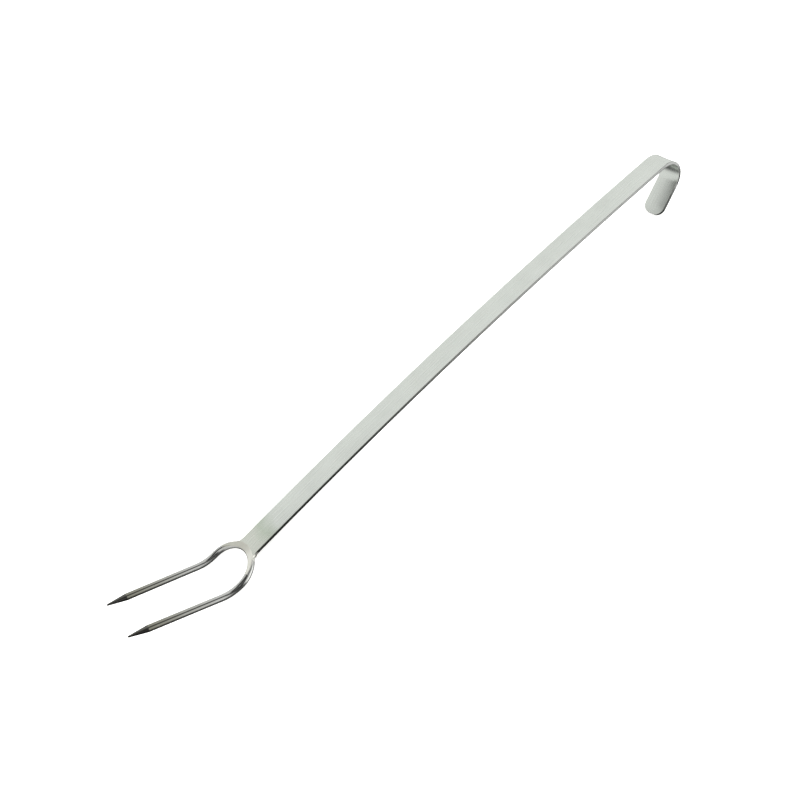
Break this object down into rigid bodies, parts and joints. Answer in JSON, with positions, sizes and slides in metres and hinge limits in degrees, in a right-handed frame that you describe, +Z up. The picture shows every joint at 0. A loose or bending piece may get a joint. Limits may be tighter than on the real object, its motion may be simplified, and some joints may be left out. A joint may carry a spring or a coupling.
{
  "type": "cooking fork",
  "caption": "Long cooking and roasting fork: flat bowed handle, hooked end to hang it by, and pointed round tines raised at the shoulders.",
  "frame": {"origin": "on the table that the fork lies on, under the middle of its length and width", "axes": "+X along the handle towards the hook, +Y across the handle, +Z up with the upper face of the handle on top"},
  "size_m": [0.5335, 0.043, 0.043],
  "materials": {
    "satin_strap": "satin",
    "polished_rod": "polished",
    "ground_weld": "ground and blended",
    "weld_bead": "as welded, brushed"
  },
  "bodies": {
    "root": {"handle_strap": "satin_strap", "tine_rod": "polished_rod", "front_weld": "ground_weld", "left_corner_weld": "ground_weld", "right_corner_weld": "ground_weld", "back_weld": "weld_bead"}
  },
  "joints": []
}
